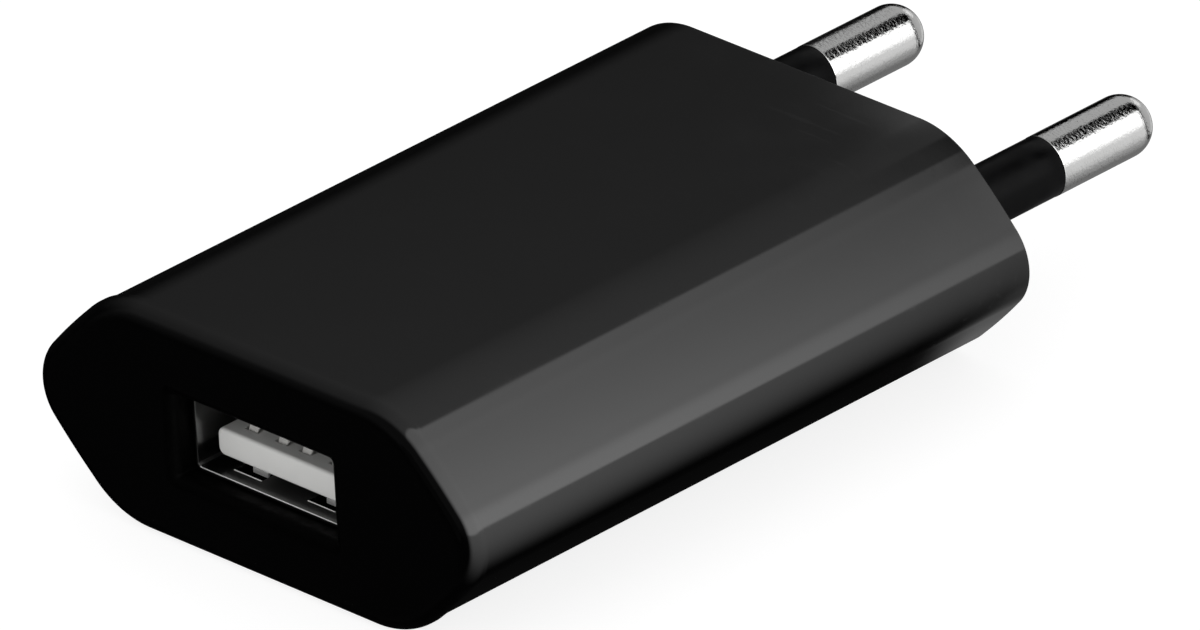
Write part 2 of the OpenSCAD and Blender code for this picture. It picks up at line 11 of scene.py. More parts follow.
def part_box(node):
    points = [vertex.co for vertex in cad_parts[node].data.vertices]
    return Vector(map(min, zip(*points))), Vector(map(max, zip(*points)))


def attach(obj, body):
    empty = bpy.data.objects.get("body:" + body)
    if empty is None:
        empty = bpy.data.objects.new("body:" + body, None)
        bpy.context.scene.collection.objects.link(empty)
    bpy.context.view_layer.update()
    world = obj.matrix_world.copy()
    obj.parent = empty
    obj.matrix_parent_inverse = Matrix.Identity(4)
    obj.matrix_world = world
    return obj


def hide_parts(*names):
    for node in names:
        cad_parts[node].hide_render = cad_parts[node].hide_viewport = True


MM = 0.001
BODY = "root"

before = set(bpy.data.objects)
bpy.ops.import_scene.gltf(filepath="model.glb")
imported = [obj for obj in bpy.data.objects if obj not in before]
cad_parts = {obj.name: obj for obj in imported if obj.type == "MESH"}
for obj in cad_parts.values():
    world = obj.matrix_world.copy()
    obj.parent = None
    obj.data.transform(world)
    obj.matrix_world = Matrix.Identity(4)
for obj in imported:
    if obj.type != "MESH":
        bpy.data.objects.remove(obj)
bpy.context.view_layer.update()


def box_mm(node):
    """Lowest and highest corner of a CAD node, in millimetres."""
    low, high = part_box(node)
    return low / MM, high / MM


# ---- Sizes, in millimetres ----

case_low, case_high = box_mm("housing")
cap_low, cap_high = box_mm("front_cap")
shell_low, shell_high = box_mm("usb_shell")
tongue_low = box_mm("usb_insulator")[0]
pin_low, pin_high = box_mm("pin_right")
sleeve_low, sleeve_high = box_mm("pin_sleeve_right")

HALF_H = case_high.z
FRONT_Y = cap_low.y
SEAM_Y = case_low.y
CAP_PROUD = cap_high.z - HALF_H
FLAT_R = 6.5
SIDE_R = 3.6
HALF_W = case_high.x - SIDE_R + SIDE_R * math.sqrt(2)
HALF_FLAT = HALF_W - HALF_H
FACET_CROWN = 0.05
WALL = 1.6
BASE = 2.2
FRONT_R = 1.2
BACK_R = 0.1

PORT_W = 13.3
PORT_H = 5.5
PORT_Z = -0.1
PORT_R = 0.12
PORT_EDGE = 0.8
SKIRT_L = 2.8
SKIRT_T = 1.0
SKIRT_GAP = 0.1

PIN_X = (pin_low.x + pin_high.x) / 2
PIN_Z = (pin_low.z + pin_high.z) / 2
PIN_R = 2.0
PIN_TIP_Y = pin_high.y
PIN_TAIL_Y = pin_low.y
PIN_NECK_R = 1.5
PIN_TAIL_R = 1.1
PIN_COLLAR_R = 2.2
PIN_COLLAR_BACK_Y = -3.6
PIN_COLLAR_FRONT_Y = -2.8
SLEEVE_R = (sleeve_high.z - sleeve_low.z) / 2
SLEEVE_END_Y = sleeve_high.y
SLEEVE_IN_Y = sleeve_low.y
SLEEVE_ROOT_R = 1.8
SLEEVE_SEAT_Y = -0.13
BOSS_R = 3.7
BOSS_END_Y = -6.0
RUNNING_GAP = 0.03
PLAY = 0.02

SHELL_W = shell_high.x - shell_low.x
SHELL_T = 0.3
SHELL_H = 5.12 + 2 * SHELL_T
SHELL_R = 0.6
WINDOW_X = 3.1
WINDOW_W = 2.3
WINDOW_L = 5.6
WINDOW_START = 1.1
WINDOW_CUT = 0.8
FINGER_W = 1.3
TAB_W = 2.0
TAB_START = 8.0
TAB_LOW_Z = 1.28

TONGUE_W = 11.1
TONGUE_T = 1.84
TONGUE_TOP = -0.06
TONGUE_Y = tongue_low.y
BLOCK_L = 2.6
BLOCK_Y = shell_high.y - BLOCK_L
CONTACT_X = {
    "usb_contact_supply": -3.5,
    "usb_contact_data_minus": -1.0,
    "usb_contact_data_plus": 1.0,
    "usb_contact_ground": 3.5,
}
CONTACT_W = 1.0
CONTACT_TIP_W = 0.72
CONTACT_T = 0.25
CONTACT_Z = TONGUE_TOP - 0.05
CONTACT_BOW = 0.3


# ---- Mesh helpers ----

SHARP_ANGLE = math.radians(35)


def solid(name, verts, faces):
    """Object from points in millimetres, closed up, with its faces turned outwards."""
    mesh = bpy.data.meshes.new(name)
    mesh.from_pydata([Vector(v) * MM for v in verts], [], faces)
    work = bmesh.new()
    work.from_mesh(mesh)
    bmesh.ops.remove_doubles(work, verts=work.verts, dist=1e-7)
    bmesh.ops.recalc_face_normals(work, faces=work.faces)
    work.to_mesh(mesh)
    work.free()
    obj = bpy.data.objects.new(name, mesh)
    bpy.context.scene.collection.objects.link(obj)
    return obj


def piece(name, verts, faces, look, replaces=()):
    """Solid that is shaded smooth and rides on the body."""
    return dress(solid(name, verts, faces), look, replaces)


def dress(obj, look, replaces=()):
    """Gives a piece its material, its shading and its place on the body."""
    mesh = obj.data
    mesh.materials.clear()
    mesh.materials.append(look)
    mesh.polygons.foreach_set("use_smooth", [True] * len(mesh.polygons))
    mesh.set_sharp_from_angle(angle=SHARP_ANGLE)
    even = obj.modifiers.new("even_shading", "WEIGHTED_NORMAL")
    even.keep_sharp = True
    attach(obj, BODY)
    if replaces:
        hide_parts(*replaces)
    return obj


def cut(name, body, tools, look, replaces=()):
    """Body with every tool cut out of it, all given as (verts, faces) in millimetres."""
    blocks = [solid(name, verts, faces) for verts, faces in [body] + tools]
    whole = blocks[0]
    for tool in blocks[1:]:
        modifier = whole.modifiers.new("cut", "BOOLEAN")
        modifier.operation = "DIFFERENCE"
        modifier.solver = "EXACT"
        modifier.object = tool
    depsgraph = bpy.context.evaluated_depsgraph_get()
    result = bpy.data.meshes.new_from_object(whole.evaluated_get(depsgraph))
    whole.modifiers.clear()
    whole.data = result
    for tool in blocks[1:]:
        bpy.data.objects.remove(tool)
    whole.name = name
    return dress(whole, look, replaces)


def merge(*parts):
    """Several (verts, faces) as one."""
    verts, faces = [], []
    for part_verts, part_faces in parts:
        start = len(verts)
        verts += part_verts
        faces += [[start + i for i in face] for face in part_faces]
    return verts, faces


def ring_at(outline, y):
    """Outline in X and Z as a ring of points at one place along Y."""
    return [(x, y, z) for x, z in outline]


def loft(rings, start_cap=True, end_cap=True):
    """Skin over rings with the same number of points, with flat ends where asked."""
    count = len(rings[0])
    verts = [point for ring in rings for point in ring]
    faces = []
    for r in range(len(rings) - 1):
        for i in range(count):
            a = r * count + i
            b = r * count + (i + 1) % count
            faces.append([a, b, b + count, a + count])
    if start_cap:
        faces.append(list(range(count)))
    if end_cap:
        faces.append([len(verts) - count + i for i in range(count)])
    return verts, faces


def flat_fill(loops):
    """Flat face at one place along Y with an outer loop and holes."""
    flat = [[Vector((x, z, 0)) for x, _, z in loop] for loop in loops]
    verts = [point for loop in loops for point in loop]
    return verts, [list(face) for face in tessellate_polygon(flat)]


def circle_ring(x, z, radius, y, count=96):
    """Circle round an axis along Y."""
    return [
        (x + radius * math.cos(2 * math.pi * i / count), y, z + radius * math.sin(2 * math.pi * i / count))
        for i in range(count)
    ]


def lathe(x, z, profile, count=96):
    """Solid of revolution round an axis along Y, from (radius, y) pairs."""
    return loft([circle_ring(x, z, radius, y, count) for radius, y in profile])


def arc(centre, radius, first, last, steps):
    """Points (a, b) on an arc, with angles in degrees."""
    points = []
    for i in range(steps + 1):
        angle = math.radians(first + (last - first) * i / steps)
        points.append((centre[0] + radius * math.cos(angle), centre[1] + radius * math.sin(angle)))
    return points


def case_outline(inset):
    """Rounded hexagon of the case in X and Z, drawn a distance inside its outline."""
    flat_cx = HALF_FLAT - FLAT_R * math.tan(math.radians(22.5))
    flat_cz = HALF_H - FLAT_R
    side_cx = HALF_W - SIDE_R * math.sqrt(2)
    corners = [
        ((side_cx, 0), SIDE_R, -45, 45, 28),
        ((flat_cx, flat_cz), FLAT_R, 45, 90, 20),
        ((-flat_cx, flat_cz), FLAT_R, 90, 135, 20),
        ((-side_cx, 0), SIDE_R, 135, 225, 28),
        ((-flat_cx, -flat_cz), FLAT_R, 225, 270, 20),
        ((flat_cx, -flat_cz), FLAT_R, 270, 315, 20),
    ]
    points = []
    for index, (centre, radius, first, last, steps) in enumerate(corners):
        points += arc(centre, radius - inset, first, last, steps)
        next_centre, next_radius, next_first = corners[(index + 1) % 6][:3]
        start = points[-1]
        end = arc(next_centre, next_radius - inset, next_first, next_first, 1)[0]
        sloping = last % 90 == 45
        for k in range(1, 12):
            t = k / 12
            bulge = FACET_CROWN * 4 * t * (1 - t) if sloping else 0
            points.append((
                start[0] + (end[0] - start[0]) * t + bulge * math.cos(math.radians(last)),
                start[1] + (end[1] - start[1]) * t + bulge * math.sin(math.radians(last)),
            ))
    return points


def soft_rect(width, height, radius):
    """Rounded rectangle in X and Z, centred, with its sides divided."""
    steps = 8
    per_side = 6
    corners = [(1, 1, 0), (-1, 1, 90), (-1, -1, 180), (1, -1, 270)]
    points = []
    for index, (sx, sz, first) in enumerate(corners):
        centre = (sx * (width / 2 - radius), sz * (height / 2 - radius))
        points += arc(centre, radius, first, first + 90, steps)
        nx, nz, nfirst = corners[(index + 1) % 4]
        end = arc((nx * (width / 2 - radius), nz * (height / 2 - radius)), radius, nfirst, nfirst, 1)[0]
        start = points[-1]
        for k in range(1, per_side):
            t = k / per_side
            points.append((start[0] + (end[0] - start[0]) * t, start[1] + (end[1] - start[1]) * t))
    return points


def shifted(outline, dz):
    """Outline in X and Z, moved up."""
    return [(x, z + dz) for x, z in outline]


def brick(low, high):
    """Box given by two corners, as (verts, faces)."""
    x0, y0, z0 = low
    x1, y1, z1 = high
    rings = [
        [(x0, y, z0), (x1, y, z0), (x1, y, z1), (x0, y, z1)]
        for y in (y0, y1)
    ]
    return loft(rings)


def edge_rounding(radius, steps):
    """(inset, depth) pairs round a quarter circle, from the side to the end of a solid."""
    pairs = []
    for i in range(steps + 1):
        angle = math.radians(90 * i / steps)
        pairs.append((radius * (1 - math.cos(angle)), radius * math.sin(angle)))
    return pairs


# ---- Shader helpers ----

def node_math(tree, operation, a, b):
    """One sum on two values, each a number or a socket."""
    node = tree.nodes.new("ShaderNodeMath")
    node.operation = operation
    for index, value in enumerate((a, b)):
        if isinstance(value, (int, float)):
            node.inputs[index].default_value = value
        else:
            tree.links.new(value, node.inputs[index])
    return node.outputs["Value"]


def smooth_step(tree, source, low, high, to_low=0.0, to_high=1.0):
    """Source from low to high, spread smoothly over another range."""
    node = tree.nodes.new("ShaderNodeMapRange")
    node.interpolation_type = "SMOOTHSTEP"
    for socket, value in (("From Min", low), ("From Max", high), ("To Min", to_low), ("To Max", to_high)):
        node.inputs[socket].default_value = value
    tree.links.new(source, node.inputs["Value"])
    return node.outputs["Result"]


class Look:
    """One material, built up from its shader node."""

    def __init__(self, name, color, roughness, metallic=0.0, coat=0.0):
        self.material = bpy.data.materials.new(name)
        self.material.use_nodes = True
        self.tree = self.material.node_tree
        self.shader = self.tree.nodes["Principled BSDF"]
        self.set(self.shader, "Base Color", (*color, 1))
        self.set(self.shader, "Roughness", roughness)
        self.set(self.shader, "Metallic", metallic)
        self.set(self.shader, "IOR", 1.5)
        self.set(self.shader, "Coat Weight", coat)
        self.set(self.shader, "Coat Roughness", 0.1)
        self.place = self.tree.nodes.new("ShaderNodeTexCoord").outputs["Object"]
        self.normal = None

    def set(self, node, socket, value):
        node.inputs[socket].default_value = value

    def link(self, output, node, socket):
        self.tree.links.new(output, node.inputs[socket])

    def stretched(self, stretch):
        """Place, scaled on each axis, so that a texture runs longer along some of them."""
        node = self.tree.nodes.new("ShaderNodeMapping")
        self.set(node, "Scale", stretch)
        self.link(self.place, node, "Vector")
        return node.outputs["Vector"]

    def noise(self, size, detail=2.0, stretch=(1, 1, 1)):
        """Cloudy noise with features of a size in millimetres, from 0 to 1."""
        node = self.tree.nodes.new("ShaderNodeTexNoise")
        self.set(node, "Scale", 1 / (size * MM))
        self.set(node, "Detail", detail)
        self.link(self.stretched(stretch), node, "Vector")
        return node.outputs["Fac"]

    def cells(self, size, stretch=(1, 1, 1), feature="F1"):
        """Distance to scattered cell centres that lie a size in millimetres apart."""
        node = self.tree.nodes.new("ShaderNodeTexVoronoi")
        node.feature = feature
        self.set(node, "Scale", 1 / (size * MM))
        self.link(self.stretched(stretch), node, "Vector")
        return node.outputs["Distance"]

    def bands(self, size, axis, distortion=0.0):
        """Parallel bands across an axis, a size in millimetres apart."""
        node = self.tree.nodes.new("ShaderNodeTexWave")
        node.wave_type = "BANDS"
        node.bands_direction = axis
        node.wave_profile = "SIN"
        self.set(node, "Scale", 2 * math.pi / (20 * size * MM))
        self.set(node, "Distortion", distortion)
        self.link(self.place, node, "Vector")
        return node.outputs["Fac"]

    def remap(self, source, low, high, to_low=0.0, to_high=1.0):
        return smooth_step(self.tree, source, low, high, to_low, to_high)

    def math(self, operation, a, b):
        return node_math(self.tree, operation, a, b)

    def axis(self, name):
        """Place along one axis of the frame, in metres."""
        node = self.tree.nodes.new("ShaderNodeSeparateXYZ")
        self.link(self.place, node, "Vector")
        return node.outputs[name]

    def edges(self, radius):
        """1 at edges sharper than a radius in millimetres, 0 on open faces."""
        rounded = self.tree.nodes.new("ShaderNodeBevel")
        rounded.samples = 4
        self.set(rounded, "Radius", radius * MM)
        geometry = self.tree.nodes.new("ShaderNodeNewGeometry")
        dot = self.tree.nodes.new("ShaderNodeVectorMath")
        dot.operation = "DOT_PRODUCT"
        self.tree.links.new(rounded.outputs["Normal"], dot.inputs[0])
        self.tree.links.new(geometry.outputs["Normal"], dot.inputs[1])
        return self.remap(dot.outputs["Value"], 0.995, 0.93)

    def blend_color(self, factor, first, second):
        """Color from first to second as factor goes from 0 to 1; either may be a socket."""
        node = self.tree.nodes.new("ShaderNodeMix")
        node.data_type = "RGBA"
        self.link(factor, node, 0)
        for index, value in ((6, first), (7, second)):
            if isinstance(value, tuple):
                node.inputs[index].default_value = (*value, 1)
            else:
                self.tree.links.new(value, node.inputs[index])
        return node.outputs[2]

    def color(self, factor, first, second):
        self.link(self.blend_color(factor, first, second), self.shader, "Base Color")
        return self

    def roughness(self, source, low, high, smooth=0.35, rough=0.65):
        self.link(self.remap(source, smooth, rough, low, high), self.shader, "Roughness")
        return self

    def bump(self, source, depth):
        """Relief of a depth in millimetres."""
        node = self.tree.nodes.new("ShaderNodeBump")
        self.set(node, "Strength", 1.0)
        self.set(node, "Distance", depth * MM)
        self.link(source, node, "Height")
        if self.normal is not None:
            self.link(self.normal, node, "Normal")
        self.normal = node.outputs["Normal"]
        self.link(self.normal, self.shader, "Normal")
        return self


# ---- Materials ----

def gloss_black(name, color):
    """Polished black moulding: faint waviness, fine orange peel, hairline scuffs and soft edge wear."""
    look = Look(name, color, 0.1)
    scuffs = look.math("MULTIPLY", look.remap(look.noise(0.5, 3, (0.06, 1, 1)), 0.62, 0.7), 0.2)
    haze = look.math("ADD", look.noise(7, 3), scuffs)
    worn = look.math("ADD", haze, look.math("MULTIPLY", look.edges(0.25), 0.35))
    look.roughness(worn, 0.07, 0.19, 0.3, 1.1)
    look.color(look.edges(0.2), color, tuple(c * 2.5 for c in color))
    look.bump(look.noise(9, 1), 0.012)
    look.bump(look.noise(0.5, 2), 0.0004)
    return look.material


def dull_grain(name, color):
    """Spark-eroded black moulding that hardly shines."""
    look = Look(name, color, 0.5)
    look.set(look.shader, "Specular IOR Level", 0.04)
    look.roughness(look.noise(0.8, 3), 0.42, 0.6)
    look.color(look.noise(1.5, 3), color, tuple(c * 1.8 for c in color))
    look.bump(look.noise(0.1, 3), 0.004)
    return look.material


def satin_sleeve(name, color):
    """Satin nylon with a fine moulded grain."""
    look = Look(name, color, 0.36)
    look.set(look.shader, "Specular IOR Level", 0.07)
    look.roughness(look.noise(1.2, 4), 0.3, 0.42)
    look.color(look.noise(2.5, 3), color, tuple(c * 1.6 for c in color))
    look.bump(look.noise(0.09, 3), 0.004)
    look.bump(look.noise(2.2, 1, (1, 0.3, 1)), 0.01)
    return look.material


def nickel(name):
    """Nickel plate over turned brass, with turning marks and a fine grain that break up its reflections."""
    look = Look(name, (0.68, 0.68, 0.675), 0.07, metallic=1.0)
    look.roughness(look.noise(0.3, 3), 0.03, 0.07)
    look.color(look.noise(1.4, 4), (0.65, 0.65, 0.645), (0.71, 0.71, 0.705))
    look.bump(look.noise(0.6, 2), 0.010)
    look.bump(look.noise(0.15, 3, (0.8, 1, 0.8)), 0.016)
    look.bump(look.bands(0.12, "Y", 0.4), 0.0006)
    return look.material


def plated_sheet(name):
    """Nickel-plated steel sheet, smooth, with faint drawing lines along the shell."""
    look = Look(name, (0.16, 0.16, 0.16), 0.2, metallic=1.0)
    look.roughness(look.noise(1.2, 3, (1, 0.4, 1)), 0.16, 0.24)
    look.color(look.noise(2.0, 3), (0.14, 0.14, 0.14), (0.18, 0.18, 0.178))
    look.bump(look.noise(0.3, 1, (1, 0.1, 1)), 0.0002)
    return look.material


def painted_highlight_steel(name):
    """Spring fingers, tabs, window lips and the lower front rim of the shell, paler and less metallic than
    its sheet: a painted highlight.
    """
    look = Look(name, (0.92, 0.92, 0.91), 0.38, metallic=0.25)
    look.roughness(look.noise(0.3, 3), 0.3, 0.45)
    look.color(look.noise(0.6, 3), (0.88, 0.88, 0.87), (0.95, 0.95, 0.94))
    look.bump(look.noise(0.1, 2, (1, 0.1, 1)), 0.0008)
    return look.material


def white_nylon(name):
    """White moulded nylon."""
    look = Look(name, (0.66, 0.66, 0.645), 0.45)
    look.roughness(look.noise(0.8, 3), 0.4, 0.55)
    look.color(look.noise(1.6, 3), (0.64, 0.64, 0.625), (0.68, 0.68, 0.665))
    look.bump(look.noise(0.12, 3), 0.002)
    return look.material


def gold_flash(name):
    """Pale gold flash over phosphor bronze, with a dull satin skin."""
    look = Look(name, (0.93, 0.92, 0.89), 0.4, metallic=0.3)
    look.roughness(look.noise(0.3, 3, (1, 0.1, 1)), 0.32, 0.48)
    look.color(look.noise(0.9, 3), (0.91, 0.90, 0.86), (0.95, 0.94, 0.91))
    look.bump(look.noise(0.1, 2, (1, 0.1, 1)), 0.0008)
    return look.material


def insulation(name, color):
    """Soft insulation of a wire, with a slight drawn grain."""
    look = Look(name, color, 0.4)
    look.roughness(look.noise(0.6, 3), 0.34, 0.5)
    look.color(look.noise(0.9, 3), color, tuple(c * 1.25 for c in color))
    look.bump(look.noise(0.2, 2, (1, 1, 0.2)), 0.006)
    return look.material


def laminate(name):
    """Green solder mask with raised tracks under it, over a woven glass board."""
    look = Look(name, (0.03, 0.16, 0.06), 0.3, coat=0.3)
    tracks = look.remap(look.cells(3.2, (1, 0.45, 1), "DISTANCE_TO_EDGE"), 0.10, 0.14)
    weave = look.math("MULTIPLY", look.bands(0.45, "X"), look.bands(0.45, "Y"))
    look.color(tracks, (0.045, 0.22, 0.085), (0.018, 0.11, 0.04))
    look.roughness(look.noise(1.5, 3), 0.24, 0.36)
    look.bump(look.math("SUBTRACT", 1.0, tracks), 0.035)
    look.bump(weave, 0.006)
    return look.material


def bright_solder(name):
    """Solder, bright and slightly rippled."""
    look = Look(name, (0.62, 0.63, 0.64), 0.22, metallic=1.0)
    look.roughness(look.noise(0.4, 3), 0.14, 0.34)
    look.color(look.noise(0.7, 3), (0.52, 0.53, 0.54), (0.70, 0.71, 0.72))
    look.bump(look.noise(0.35, 3), 0.02)
    return look.material


def ferrite_block(name):
    """Sintered ferrite: matt, with tiny pores."""
    look = Look(name, (0.05, 0.05, 0.055), 0.6)
    look.roughness(look.noise(0.5, 4), 0.5, 0.7)
    look.color(look.noise(0.7, 5), (0.035, 0.035, 0.04), (0.075, 0.075, 0.08))
    look.bump(look.remap(look.cells(0.22), 0.0, 0.25), 0.01)
    look.bump(look.noise(0.12, 4), 0.008)
    return look.material


def moulded(name, color, low=0.45, high=0.62):
    """Moulded epoxy or thermoset with a fine sparked grain."""
    look = Look(name, color, low)
    look.roughness(look.noise(0.5, 3), low, high)
    look.color(look.noise(0.9, 4), color, tuple(c * 1.5 for c in color))
    look.bump(look.noise(0.08, 3), 0.006)
    return look.material


def wound_copper(name):
    """Enamelled copper wire, wound in close coils, with painted shade darkening the valleys between coils."""
    look = Look(name, (0.62, 0.26, 0.09), 0.24, metallic=0.85, coat=0.4)
    coil_relief_and_shade = look.bands(0.22, "X", 0.6)
    # Colour darker in the valleys and lighter on the crests of the coils: painted shade.
    look.color(coil_relief_and_shade, (0.34, 0.12, 0.04), (0.72, 0.32, 0.12))
    look.roughness(look.noise(0.4, 2), 0.18, 0.32)
    look.bump(coil_relief_and_shade, 0.07)
    return look.material


def polyester_tape(name):
    """Yellow tape with creases where it wraps."""
    look = Look(name, (0.80, 0.58, 0.06), 0.3, coat=0.2)
    look.color(look.noise(1.8, 3, (0.3, 1, 1)), (0.72, 0.50, 0.04), (0.86, 0.66, 0.10))
    look.roughness(look.noise(0.8, 3), 0.22, 0.4)
    look.bump(look.noise(1.1, 2, (0.2, 1, 1)), 0.04)
    return look.material


def tinned(name):
    """Tinned copper wire or lead frame."""
    look = Look(name, (0.68, 0.69, 0.70), 0.28, metallic=1.0)
    look.roughness(look.noise(0.25, 3), 0.2, 0.38)
    look.color(look.noise(0.6, 3), (0.58, 0.59, 0.60), (0.74, 0.75, 0.76))
    look.bump(look.noise(0.14, 2), 0.004)
    return look.material


def shrink_sleeve(name, color, stripe):
    """Shrink sleeve of a capacitor, with a pale stripe along its minus side."""
    look = Look(name, color, 0.22, coat=0.3)
    side = look.remap(look.axis("Z"), -0.0012, -0.001, 1, 0)
    look.color(side, color, stripe)
    look.roughness(look.noise(0.9, 3), 0.16, 0.3)
    look.bump(look.noise(1.4, 2), 0.02)
    return look.material


def rubber(name):
    """Rubber seal."""
    look = Look(name, (0.03, 0.028, 0.026), 0.75)
    look.roughness(look.noise(0.5, 3), 0.68, 0.85)
    look.color(look.noise(0.8, 3), (0.022, 0.02, 0.019), (0.045, 0.042, 0.04))
    look.bump(look.noise(0.15, 3), 0.008)
    return look.material


def banded_lacquer(name, centre_x):
    """Green resistor lacquer with four color bands round it."""
    look = Look(name, (0.20, 0.42, 0.30), 0.3, coat=0.4)
    along = look.axis("X")
    paint = look.blend_color(look.noise(0.8, 3), (0.18, 0.38, 0.27), (0.24, 0.46, 0.34))
    bands = (
        (-1.9, (0.25, 0.09, 0.03)),
        (-0.8, (0.02, 0.02, 0.02)),
        (0.2, (0.55, 0.30, 0.03)),
        (1.7, (0.62, 0.48, 0.20)),
    )
    for offset, shade in bands:
        middle = (centre_x + offset) * MM
        away = look.math("ABSOLUTE", look.math("SUBTRACT", along, middle), 0)
        paint = look.blend_color(look.remap(away, 0.00028, 0.00034, 1, 0), paint, shade)
    look.link(paint, look.shader, "Base Color")
    look.roughness(look.noise(0.5, 2), 0.24, 0.38)
    look.bump(look.noise(0.7, 2), 0.02)
    return look.material


def dipped_coat(name, color):
    """Thick dipped coat with soft lumps."""
    look = Look(name, color, 0.4, coat=0.2)
    look.color(look.noise(1.0, 4), color, tuple(min(1, c * 1.4) for c in color))
    look.roughness(look.noise(0.6, 3), 0.32, 0.5)
    look.bump(look.noise(1.2, 2), 0.05)
    look.bump(look.noise(0.15, 3), 0.006)
    return look.material


CASE = gloss_black("case_plastic", (0.00025, 0.00025, 0.00028))
CAP = gloss_black("cap_plastic", (0.00022, 0.00022, 0.00025))
PORT_GRAIN = dull_grain("cap_port_grain", (0.0003, 0.0003, 0.0003))
SLEEVE = satin_sleeve("sleeve_plastic", (0.0004, 0.0004, 0.0005))
NICKEL = nickel("pin_plate")
SHEET = plated_sheet("shell_steel")
# Pale copy of the shell steel: a painted highlight on fingers, tabs, lips and rim.
PAINTED_HIGHLIGHT_STEEL = painted_highlight_steel("shell_springs_painted_highlight")
WHITE = white_nylon("white_plastic")
GOLD = gold_flash("contact_gold")
TINNED = tinned("tinned_wire")
FERRITE = ferrite_block("ferrite")
EPOXY = moulded("chip_epoxy", (0.016, 0.016, 0.018))


# ---- Outside pieces ----

def case_sleeve():
    """Sleeve of the case, closed by the plug face, with a boss inside for each pin."""
    boss_x = (-PIN_X, PIN_X)
    hole_r = SLEEVE_ROOT_R + RUNNING_GAP
    seat_r = SLEEVE_R + RUNNING_GAP
    seat_y = SLEEVE_SEAT_Y - PLAY
    outer = [ring_at(case_outline(0), SEAM_Y)]
    for k in range(1, 6):
        outer.append(ring_at(case_outline(0), SEAM_Y + (-BACK_R - SEAM_Y) * k / 6))
    for inset, depth in edge_rounding(BACK_R, 8):
        outer.append(ring_at(case_outline(inset), -BACK_R + depth))
    inner_back = ring_at(case_outline(WALL), -BASE)
    inner_front = ring_at(case_outline(WALL), SEAM_Y)
    parts = [
        loft(outer, False, False),
        loft([outer[0], inner_front], False, False),
        loft([inner_front, inner_back], False, False),
        flat_fill([outer[-1]] + [circle_ring(x, PIN_Z, seat_r, 0) for x in boss_x]),
        flat_fill([inner_back] + [circle_ring(x, PIN_Z, BOSS_R, -BASE) for x in boss_x]),
    ]
    for x in boss_x:
        hole = [(seat_r, 0), (seat_r, seat_y), (hole_r, seat_y)]
        hole += [(hole_r, SLEEVE_IN_Y - PLAY), (PIN_NECK_R + PLAY, SLEEVE_IN_Y - PLAY)]
        hole += [(PIN_NECK_R + PLAY, BOSS_END_Y), (BOSS_R, BOSS_END_Y), (BOSS_R, -BASE)]
        parts.append(loft([circle_ring(x, PIN_Z, r, y) for r, y in hole], False, False))
    verts, faces = merge(*parts)
    return piece("case_sleeve", verts, faces, CASE, ["housing"])


def port_outline(grow):
    """Outline of the port opening, drawn a distance outside the opening."""
    return shifted(soft_rect(PORT_W + 2 * grow, PORT_H + 2 * grow, PORT_R + grow), PORT_Z)


def front_cap():
    """Front cap: rounded rim, port opening, skirt and the collar round the receptacle."""
    band_y = FRONT_Y + FRONT_R
    skirt_inset = WALL + SKIRT_GAP
    outer = [ring_at(case_outline(-CAP_PROUD), SEAM_Y)]
    for inset, depth in edge_rounding(FRONT_R, 20):
        outer.append(ring_at(case_outline(inset - CAP_PROUD), band_y - depth))
    port = [ring_at(port_outline(0), SEAM_Y)]
    for grow, depth in edge_rounding(PORT_EDGE, 14):
        port.append(ring_at(port_outline(grow), FRONT_Y + PORT_EDGE - depth))
    plate = merge(
        loft(outer, False, False),
        loft(port, False, False),
        flat_fill([outer[-1], port[-1]]),
        flat_fill([outer[0], port[0]]),
    )
    skirt_rings = [
        ring_at(case_outline(skirt_inset), SEAM_Y - 0.01),
        ring_at(case_outline(skirt_inset), SEAM_Y + SKIRT_L - 0.2),
        ring_at(case_outline(skirt_inset + 0.2), SEAM_Y + SKIRT_L),
        ring_at(case_outline(skirt_inset + SKIRT_T), SEAM_Y + SKIRT_L),
        ring_at(case_outline(skirt_inset + SKIRT_T), SEAM_Y - 0.01),
        ring_at(case_outline(skirt_inset), SEAM_Y - 0.01),
    ]
    collar_rings = [
        ring_at(soft_rect(SHELL_W + 2 * g, SHELL_H + 2 * g, 0.3 + g), y)
        for g, y in ((0.15, SEAM_Y - 0.01), (0.15, SEAM_Y + 1.6), (0.95, SEAM_Y + 1.6), (0.95, SEAM_Y - 0.01),
                     (0.15, SEAM_Y - 0.01))
    ]
    verts, faces = merge(plate, loft(skirt_rings, False, False), loft(collar_rings, False, False))
    cap = piece("front_cap_moulding", verts, faces, CAP, ["front_cap"])
    cap.data.materials.append(PORT_GRAIN)
    for face in cap.data.polygons:
        x, y, z = face.center / MM
        inside = abs(x) < PORT_W / 2 + PORT_EDGE * 0.8 and abs(z - PORT_Z) < PORT_H / 2 + PORT_EDGE * 0.8
        if inside and FRONT_Y + 0.01 < y:
            face.material_index = 1
    return cap


